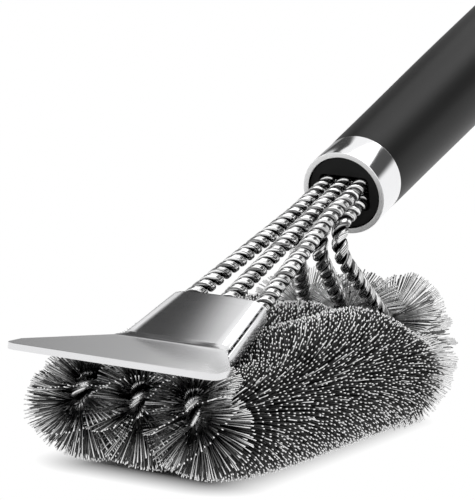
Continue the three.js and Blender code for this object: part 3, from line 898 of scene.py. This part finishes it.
def make_ring():
    """Round wire bent to a ring, thicker at the weld at its foot."""
    around, sides, weld_bulge, weld_width = 120, 20, 0.10, math.radians(5)
    rings = []
    for i in range(around):
        turn = math.tau * i / around
        from_foot = min(turn, math.tau - turn)
        radius = RING_WIRE * (1 + weld_bulge * math.exp(-(from_foot / weld_width) ** 2))
        out = vec(math.sin(turn), 0, -math.cos(turn))
        centre = LUG_HOLE - vec(0, 0, RING_RADIUS) + out * RING_RADIUS
        section = [math.tau * j / sides for j in range(sides)]
        rings += [centre + out * (radius * math.cos(s)) + vec(0, radius * math.sin(s), 0) for s in section]
    piece = closed_object("round_ring", rings, tube_faces(around, sides, closed=True))
    dress(piece, POLISHED, "hanging_ring", body="ring")


# ---- bristles, gripped between the strands and so laid in the twist's spirals ----

BRISTLE_REACH = mm(22.2)
BEND_REACH = mm(17.0)            # at the front bend, growing behind it
BEND_SIDE_REACH = mm(19.2)
REACH_GROWTH = mm(17)
LEG_REACH = mm(13.5)             # on the leg's last stretch, above the front bend
LEG_BRISTLES = mm(9)
REAR_REACH = mm(25.5)
REAR_SIDE_REACH = mm(22.4)
REAR_CORNER_CUT = 0.15           # share by which the rear bristles that slant upwards are shorter
REAR_BLEND = mm(14)              # length over which the reach changes to the rear bend's
LEG_HOLLOW_LENGTH = mm(30)       # ahead of the rear legs the top bristles lie lower
LEG_HOLLOW_DEPTH = mm(9)
SLEEVE_HOLLOW_DEPTH = mm(6.5)    # and so they do round the scraper's sleeve
SLEEVE_HOLLOW_FROM, SLEEVE_HOLLOW_TO = mm(40), mm(72)
NOSE_LEAN = -0.22                # lean towards the front near the front bend
NOSE_LENGTH = mm(12)
BRISTLE_ROOT = mm(2.2)
ROOT_RADIUS, TIP_RADIUS = mm(0.11), mm(0.22)
# Whole bristles stand in even spirals, and shorter worn ones, painted dark as shade, between them: pitches
# at the front bend, along the core and at the rear bend, reaches as shares of the full one, and strays in
# radians.
WHOLE = {"spirals": 3, "pitches": (mm(0.15), mm(0.088), mm(0.055)), "reach": (0.965, 1.0), "stray": 0.014}
WORN = {"spirals": 4, "pitches": (mm(0.22), mm(0.12), mm(0.08)), "reach": (0.76, 0.93), "stray": 0.030}
WORN_PHASE = 0.4                 # radians from the whole bristles' spirals to the worn ones'
HEAD_PHASE = 0.7                 # and from one head's spirals to the next head's
FLOOR_CLEARANCE = mm(0.15)
WIRE_CLEARANCE = mm(3.1)
SLEEVE_ROOM = mm(1), mm(0.8), mm(0.5)  # left free along the sleeve, beside it and under it
BLADE_ROOM = mm(2), mm(0.6)      # and behind the blade's fold and below its underside
SHORTEST_BRISTLE = mm(4)
FAN_LENGTH = mm(3)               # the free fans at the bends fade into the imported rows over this
INSIDE_BEND_CUT = 0.55           # share by which bristles on a bend's inside are shorter
BRIGHT_SHARE = 0.06              # share of the whole bristles whose shafts shine all along the head
BRIGHT_IN_FAN = 0.85             # and how much more of them shine in a fan, as painted light where the fans stand free
# bright shafts show the steel's own tone; dull and worn ones are painted near black as the shade deep in
# the mat
BRIGHT_TONE, DULL_SHADE_TONE, WORN_SHADE_TONE = (0.55, 1.0), (0.01, 0.07), (0.0, 0.05)
# worn bristles are painted lighter in the free fans
WORN_LIGHT_IN_FAN = 0.25
FAN_ROOT = 0.84                  # "along" at the roots in a fan, where the painted shade is mostly lifted as they stand free
WORN_TIP = 0.92                  # "along" at a worn bristle's tip, so painted shade still dims it and it gets no bright cut tip


def leg_segments():
    """The legs' straight stretches, as (start, end) pairs that bristles stay clear of."""
    spans = [("fan", "front"), ("rear", "elbow")]
    return [(route[a].end, route[b].start) for route in ROUTES.values() for a, b in spans]


def distance_to(points, start, end):
    axis = end - start
    share = np.clip((points - start) @ axis / (axis @ axis), 0, 1)
    return np.linalg.norm(points - start - share[:, None] * axis, axis=1)


def blocked(points):
    """True where a point would lie in the scraper, in a leg or below the surface."""
    local = points - SLEEVE_REAR
    forward, up = local @ LEG_FORWARD, local @ LEG_UP
    along, beside, under = SLEEVE_ROOM
    sleeve = (forward > -along) & (forward < SLEEVE_LENGTH + along)
    sleeve &= up > -(SLEEVE_HALF_HEIGHT + STUD_HEAD + under)
    sleeve &= np.abs(points[:, 0]) < LEG_X_FRONT + WALL_OUTSET + beside
    behind, below = BLADE_ROOM
    blade = (points[:, 1] < FOLD_LINE[1] + behind) & (points[:, 2] > FOLD_LINE[2] - LIP_SHEET - below)
    hit = sleeve | blade | (points[:, 2] < FLOOR_CLEARANCE)
    for start, end in leg_segments():
        hit |= distance_to(points, start, end) < WIRE_CLEARANCE
    return hit


def trimmed(roots, directions, lengths):
    """Each bristle's length up to the first thing in its way."""
    first_share, margin = 0.22, 0.03
    free = np.ones(len(roots))
    open_yet = np.ones(len(roots), bool)
    for share in np.linspace(first_share, 1.0, 36):
        points = roots + directions * (lengths * share)[:, None]
        hit = blocked(points) & open_yet
        free[hit] = share - margin
        open_yet &= ~hit
    return lengths * free


def bristle_stations(route, pitches):
    """From the foot of the front leg to the end of the rear bend: points, tangents, distances behind
    the front bend and ahead of the rear one, and the directions of the bends' centres."""
    front, rear = route["front"], route["rear"]
    front_pitch, pitch, rear_pitch = pitches
    foot = front.start - front.inward * LEG_BRISTLES
    start = line_stations(foot, front.start, pitch) + front.stations(front_pitch)
    straight = line_stations(front.end, rear.start, pitch)
    points, tangents, travelled = columns(start + straight + rear.stations(rear_pitch))
    core, bend = len(start), len(start) + len(straight)
    inward = np.zeros_like(points)
    inward[:core] = (front.centre - points[:core]) / front.radius
    inward[bend:] = (rear.centre - points[bend:]) / rear.radius
    return points, tangents, travelled - travelled[core], travelled[bend] - travelled, inward


def reaches(points, radial, behind, ahead, inner):
    """Tips' distance from the core: less at the front, inside bends, and under the sleeve and legs."""
    sideways, rise = np.abs(radial[:, 0]), np.clip(radial[:, 2], 0, 1)
    bend = BEND_REACH + (BEND_SIDE_REACH - BEND_REACH) * sideways ** 2
    grown = BRISTLE_REACH - (BRISTLE_REACH - bend) * np.exp(-np.clip(behind, 0, None) / REACH_GROWTH)
    on_leg_share = smooth_step(-behind / LEG_BRISTLES)
    grown = grown + (LEG_REACH - grown) * on_leg_share
    rear = REAR_REACH + (REAR_SIDE_REACH - REAR_REACH) * sideways
    rear = rear * (1 - REAR_CORNER_CUT * 2 * sideways * rise)
    grown = grown + (rear - grown) * smooth_step(1 - ahead / REAR_BLEND)
    upward = rise ** 2
    rear_hollow = smooth_step(1 - ahead / LEG_HOLLOW_LENGTH) * (ahead > 0)
    short_of_end = (SLEEVE_HOLLOW_TO - (points[:, 1] - Y0)) / (SLEEVE_HOLLOW_TO - SLEEVE_HOLLOW_FROM)
    sleeve_hollow = smooth_step(short_of_end) * (behind > 0)
    grown = grown - (LEG_HOLLOW_DEPTH * rear_hollow + SLEEVE_HOLLOW_DEPTH * sleeve_hollow) * upward
    return grown * (1 - INSIDE_BEND_CUT * np.clip(inner, 0, 1))


def fan_share(behind, ahead):
    """1 where the bristles stand free in a fan, at the front and rear bends."""
    return np.maximum(smooth_step(1 - behind / FAN_LENGTH), smooth_step(1 - ahead / FAN_LENGTH))


def spirals(route, phase, kind):
    """Roots, directions, lengths and fan shares of one kind of bristle; a fan share sets how much painted
    light the bristle gets, less where it points forward.
    """
    points, tangents, behind, ahead, inward = bristle_stations(route, kind["pitches"])
    across, other = square_axes(tangents)
    batches, count = [], len(points)
    for spiral in range(kind["spirals"]):
        turns = behind / TWIST_LEAD * math.tau + phase + spiral * math.tau / kind["spirals"]
        turns = turns + RNG.normal(0, kind["stray"], count)
        radial = round_axis(across, other, turns)
        lean = NOSE_LEAN * smooth_step(1 - behind / NOSE_LENGTH) * (behind > 0)
        direction = units(radial + tangents * (lean + RNG.normal(0, kind["stray"], count))[:, None])
        inner = np.sum(radial * inward, axis=1)
        reach = reaches(points, radial, behind, ahead, inner) * RNG.uniform(*kind["reach"], count)
        # painted light: bristles in the free fans get lighter shafts, those pointing forward less so
        fan_light = fan_share(behind, ahead) * (1 - np.clip(-direction[:, 1], 0, 0.8))
        batches.append((points + radial * BRISTLE_ROOT, direction, reach - BRISTLE_ROOT, fan_light))
    return [np.concatenate(column) for column in zip(*batches)]


def head_bristles(route, phase):
    """Both kinds together, trimmed, with 1 for each whole bristle and 0 for each worn one."""
    whole, worn = spirals(route, phase, WHOLE), spirals(route, phase + WORN_PHASE, WORN)
    kinds = [np.ones(len(whole[0])), np.zeros(len(worn[0]))]
    bristles = [np.concatenate(pair) for pair in zip(whole + kinds[:1], worn + kinds[1:])]
    bristles[2] = trimmed(*bristles[:3])
    keep = bristles[2] > SHORTEST_BRISTLE
    return [column[keep] for column in bristles]


def prism_points(roots, directions, lengths):
    """Corners of flaring three-sided prisms: three at each root, then three at each tip."""
    steep = np.abs(directions[:, 1:2]) < 0.9
    reference = np.where(steep, vec(0, 1, 0), vec(1, 0, 0))
    side = units(np.cross(reference, directions))
    other = np.cross(directions, side)
    turns = np.arange(3) / 3 * math.tau
    ring = side[:, None] * np.cos(turns)[None, :, None] + other[:, None] * np.sin(turns)[None, :, None]
    base = roots[:, None] + ring * ROOT_RADIUS
    tips = (roots + directions * lengths[:, None])[:, None] + ring * TIP_RADIUS
    return np.concatenate([base, tips], axis=1).reshape(-1, 3)


def root_and_tip(at_root, at_tip):
    """A number for each corner of every bristle, from one for its root and one for its tip."""
    return np.repeat(np.stack([at_root, at_tip], axis=1), 3, axis=1)


def lay_out(piece, count):
    """UV map in which each bristle's faces stand side by side in a cell of its own."""
    across = math.ceil(math.sqrt(count))
    cell = []
    for k in range(3):
        left, right = 0.05 + 0.3 * k, 0.05 + 0.3 * (k + 1)
        cell += [(left, 0.1), (right, 0.1), (right, 0.8), (left, 0.8)]
    cell += [(0.1, 0.86), (0.9, 0.86), (0.5, 0.96)] + [(0.1, 0.02), (0.9, 0.02), (0.5, 0.08)]
    places = np.array([(i % across, i // across) for i in range(count)], float)
    corners = (places[:, None] + np.array(cell)[None]) / across
    layer = piece.data.uv_layers.new(name="OFBake")
    layer.data.foreach_set("uv", corners.reshape(-1).astype(np.float32))


def bristle_mesh(name, roots, directions, lengths, fan, whole):
    """Closed prisms; "along" grows towards the tip and sets the painted shade, and "tone" differs from
    bristle to bristle, its dark shafts painted as shade.
    """
    count = len(roots)
    pattern = [(0, 1, 4, 3), (1, 2, 5, 4), (2, 0, 3, 5), (3, 4, 5), (2, 1, 0)]
    faces = [tuple(6 * i + k for k in face) for i in range(count) for face in pattern]
    piece = mesh_object(name, prism_points(roots, directions, lengths), faces)
    piece.data.polygons.foreach_set("use_smooth", [True, True, True, False, False] * count)
    # "along" drives the painted shade towards the core, lifted at the roots in the free fans
    store_values(piece, "along", root_and_tip(FAN_ROOT * fan, np.where(whole > 0, 1.0, WORN_TIP)))
    # the fan share paints light: more bright shafts and lighter worn ones in the free fans
    bright = RNG.uniform(0, 1, count) < BRIGHT_SHARE + BRIGHT_IN_FAN * fan
    tone_and_shade = np.where(bright, RNG.uniform(*BRIGHT_TONE, count), RNG.uniform(*DULL_SHADE_TONE, count))
    worn = RNG.uniform(*WORN_SHADE_TONE, count) + WORN_LIGHT_IN_FAN * fan
    tone_and_shade = np.where(whole > 0, tone_and_shade, worn)
    store_values(piece, "tone_and_shade", root_and_tip(tone_and_shade, tone_and_shade))
    lay_out(piece, count)
    return piece


def make_bristles():
    for index, (name, route) in enumerate(ROUTES.items()):
        piece = bristle_mesh(f"wire_bristles_{name}", *head_bristles(route, index * HEAD_PHASE))
        dress(piece, BRISTLE, f"bristles_{name}")


# ---- camera, floor and light ----

CAMERA_AT = vec(mm(311.07), Y0 + mm(-571.78), mm(153.55))
CAMERA_AZIMUTH = math.radians(26.04)
CAMERA_ELEVATION = math.radians(7.12)
CAMERA_ROLL = math.radians(3.82)
FOCAL_PIXELS = 2298.59
PICTURE_HEIGHT = 500
SENSOR = 36.0

SOFT_LIGHT = 0.55                # the world's strength for diffuse light
WHITE_TO = "Is Camera Ray", "Is Glossy Ray", "Is Transmission Ray"
FLOOR_SIZE = 6.0
FLOOR_GREY = 0.78
FLOOR_CENTRE = (mm(-6), Y0 + mm(94), mm(-0.2))
SHADOW_HALF = mm(18), mm(65)     # the shadow shows this far from there, to each side and lengthwise
SHADOW_EDGE = mm(20)             # and fades out over this

LAMP_AT, LAMP_TARGET = Vector((0.22, 0.16, 1.3)), Vector((0, -0.1, 0.02))
LAMP_SIZE, LAMP_WATTS = 1.4, 9

# Dark studio flags that only reflections see: azimuths from +Y towards -X, elevations, both
# in degrees, how much light each takes away, and half the width of its soft edge.
FLAGS = (
    ((30.0, 40), (11, 43), 0.94, 2),
    ((27.3, 75), (-4, 14), 0.63, 1.0),
    ((37.2, 78), (33, 75), 0.95, 2.5),
    ((-62, -14), (22, 57), 0.92, 5),
)


def make_camera():
    data = bpy.data.cameras.new("camera")
    data.sensor_width = SENSOR
    data.lens = FOCAL_PIXELS / PICTURE_HEIGHT * SENSOR
    data.clip_start, data.clip_end = 0.05, 50
    camera = add_object("camera", data)
    a, e, roll = CAMERA_AZIMUTH, CAMERA_ELEVATION, CAMERA_ROLL
    back = Vector((math.sin(a) * math.cos(e), -math.cos(a) * math.cos(e), math.sin(e)))
    level = Vector((math.cos(a), math.sin(a), 0))
    upright = back.cross(level)
    right = level * math.cos(roll) + upright * math.sin(roll)
    up = upright * math.cos(roll) - level * math.sin(roll)
    turn = Matrix((right, up, back)).transposed().to_4x4()
    camera.matrix_world = Matrix.Translation(Vector(CAMERA_AT)) @ turn
    bpy.context.scene.camera = camera


def make_floor():
    """A pale floor that shows its shadow near the brush and is plain white elsewhere."""
    corners = [(x * FLOOR_SIZE, y * FLOOR_SIZE, 0) for x, y in ((-1, -1), (1, -1), (1, 1), (-1, 1))]
    floor = mesh_object("floor", corners, [(0, 1, 2, 3)])
    floor.location = FLOOR_CENTRE
    shader = Shader("pale_floor")
    shader.set(shader.main, Base_Color=grey(FLOOR_GREY), Roughness=0.9, Specular_IOR_Level=0.1)
    outside = shader.math("ABSOLUTE", shader.place, kind="VectorMath")
    outside = shader.math("SUBTRACT", outside, (*SHADOW_HALF, 0), kind="VectorMath")
    outside = shader.math("MAXIMUM", outside, (0, 0, 0), kind="VectorMath")
    distance = shader.math("LENGTH", outside, kind="VectorMath", result="Value")
    fade = shader.remap(distance, 0.0, 1.0, 0.0, SHADOW_EDGE)
    white = shader.math("MULTIPLY", fade, shader.ray_share(*WHITE_TO))
    glow = shader.add("Emission", Color=grey(1.0))
    shader.blend(white, shader.main, glow, shader.nodes["Material Output"].inputs["Surface"])
    floor.data.materials.append(shader.material)


def world_angles(tree):
    """Azimuth from +Y towards -X and elevation of a direction of the world, in degrees."""
    direction = tree.add("TexCoord").outputs["Generated"]
    x, y, z = tree.add("SeparateXYZ", Vector=direction).outputs
    azimuth = tree.math("ARCTAN2", tree.math("MULTIPLY", x, -1.0), y)
    return [tree.math("DEGREES", angle) for angle in (azimuth, tree.math("ARCSINE", z))]


def rising(tree, value, at, soft):
    """0 below an angle and 1 above it, with a soft edge."""
    edge = {"From_Min": at - soft, "From_Max": at + soft}
    return tree.add("MapRange", interpolation_type="SMOOTHSTEP", Value=value, **edge).outputs["Result"]


def flag_share(tree, angles, spans, depth, soft):
    """How much light a flag takes from a direction of the world."""
    share = depth
    for angle, (low, high) in zip(angles, spans):
        share = tree.math("MULTIPLY", rising(tree, angle, low, soft), share)
        share = tree.math("MULTIPLY", tree.math("SUBTRACT", 1.0, rising(tree, angle, high, soft)), share)
    return share


def make_world():
    """White to the camera and in reflections, apart from the flags, and dimmer as soft light."""
    world = bpy.data.worlds.new("studio")
    bpy.context.scene.world = world
    world.use_nodes = True
    tree = Nodes(world.node_tree)
    angles, darkness = world_angles(tree), 0.0
    for azimuths, elevations, depth, edge in FLAGS:
        share = flag_share(tree, angles, (azimuths, elevations), depth, edge)
        darkness = tree.math("MAXIMUM", share, darkness)
    reflected = tree.math("MULTIPLY", darkness, tree.ray_share("Is Glossy Ray"))
    colour = tree.add("Mix", data_type="RGBA", Factor=reflected, A=grey(1.0), B=grey(0.0))
    white = tree.add("Background", Color=colour.outputs["Result"])
    soft = tree.set(tree.nodes["Background"], Color=grey(1.0), Strength=SOFT_LIGHT)
    tree.blend(tree.ray_share(*WHITE_TO), soft, white, tree.nodes["World Output"].inputs["Surface"])


def make_lamp():
    data = bpy.data.lights.new("overhead", "AREA")
    data.size, data.energy = LAMP_SIZE, LAMP_WATTS
    lamp = add_object("overhead", data)
    lamp.location = LAMP_AT
    lamp.rotation_mode = "QUATERNION"
    lamp.rotation_quaternion = (LAMP_TARGET - LAMP_AT).to_track_quat("-Z", "Y")
    lamp.visible_camera = False


make_camera()
make_floor()
make_world()
make_lamp()
make_stems()
make_scraper()
make_ferrule()
make_plug()
make_collar()
make_grip()
make_end_cap()
make_ring()
make_bristles()

bpy.context.scene.view_settings.view_transform = "Standard"
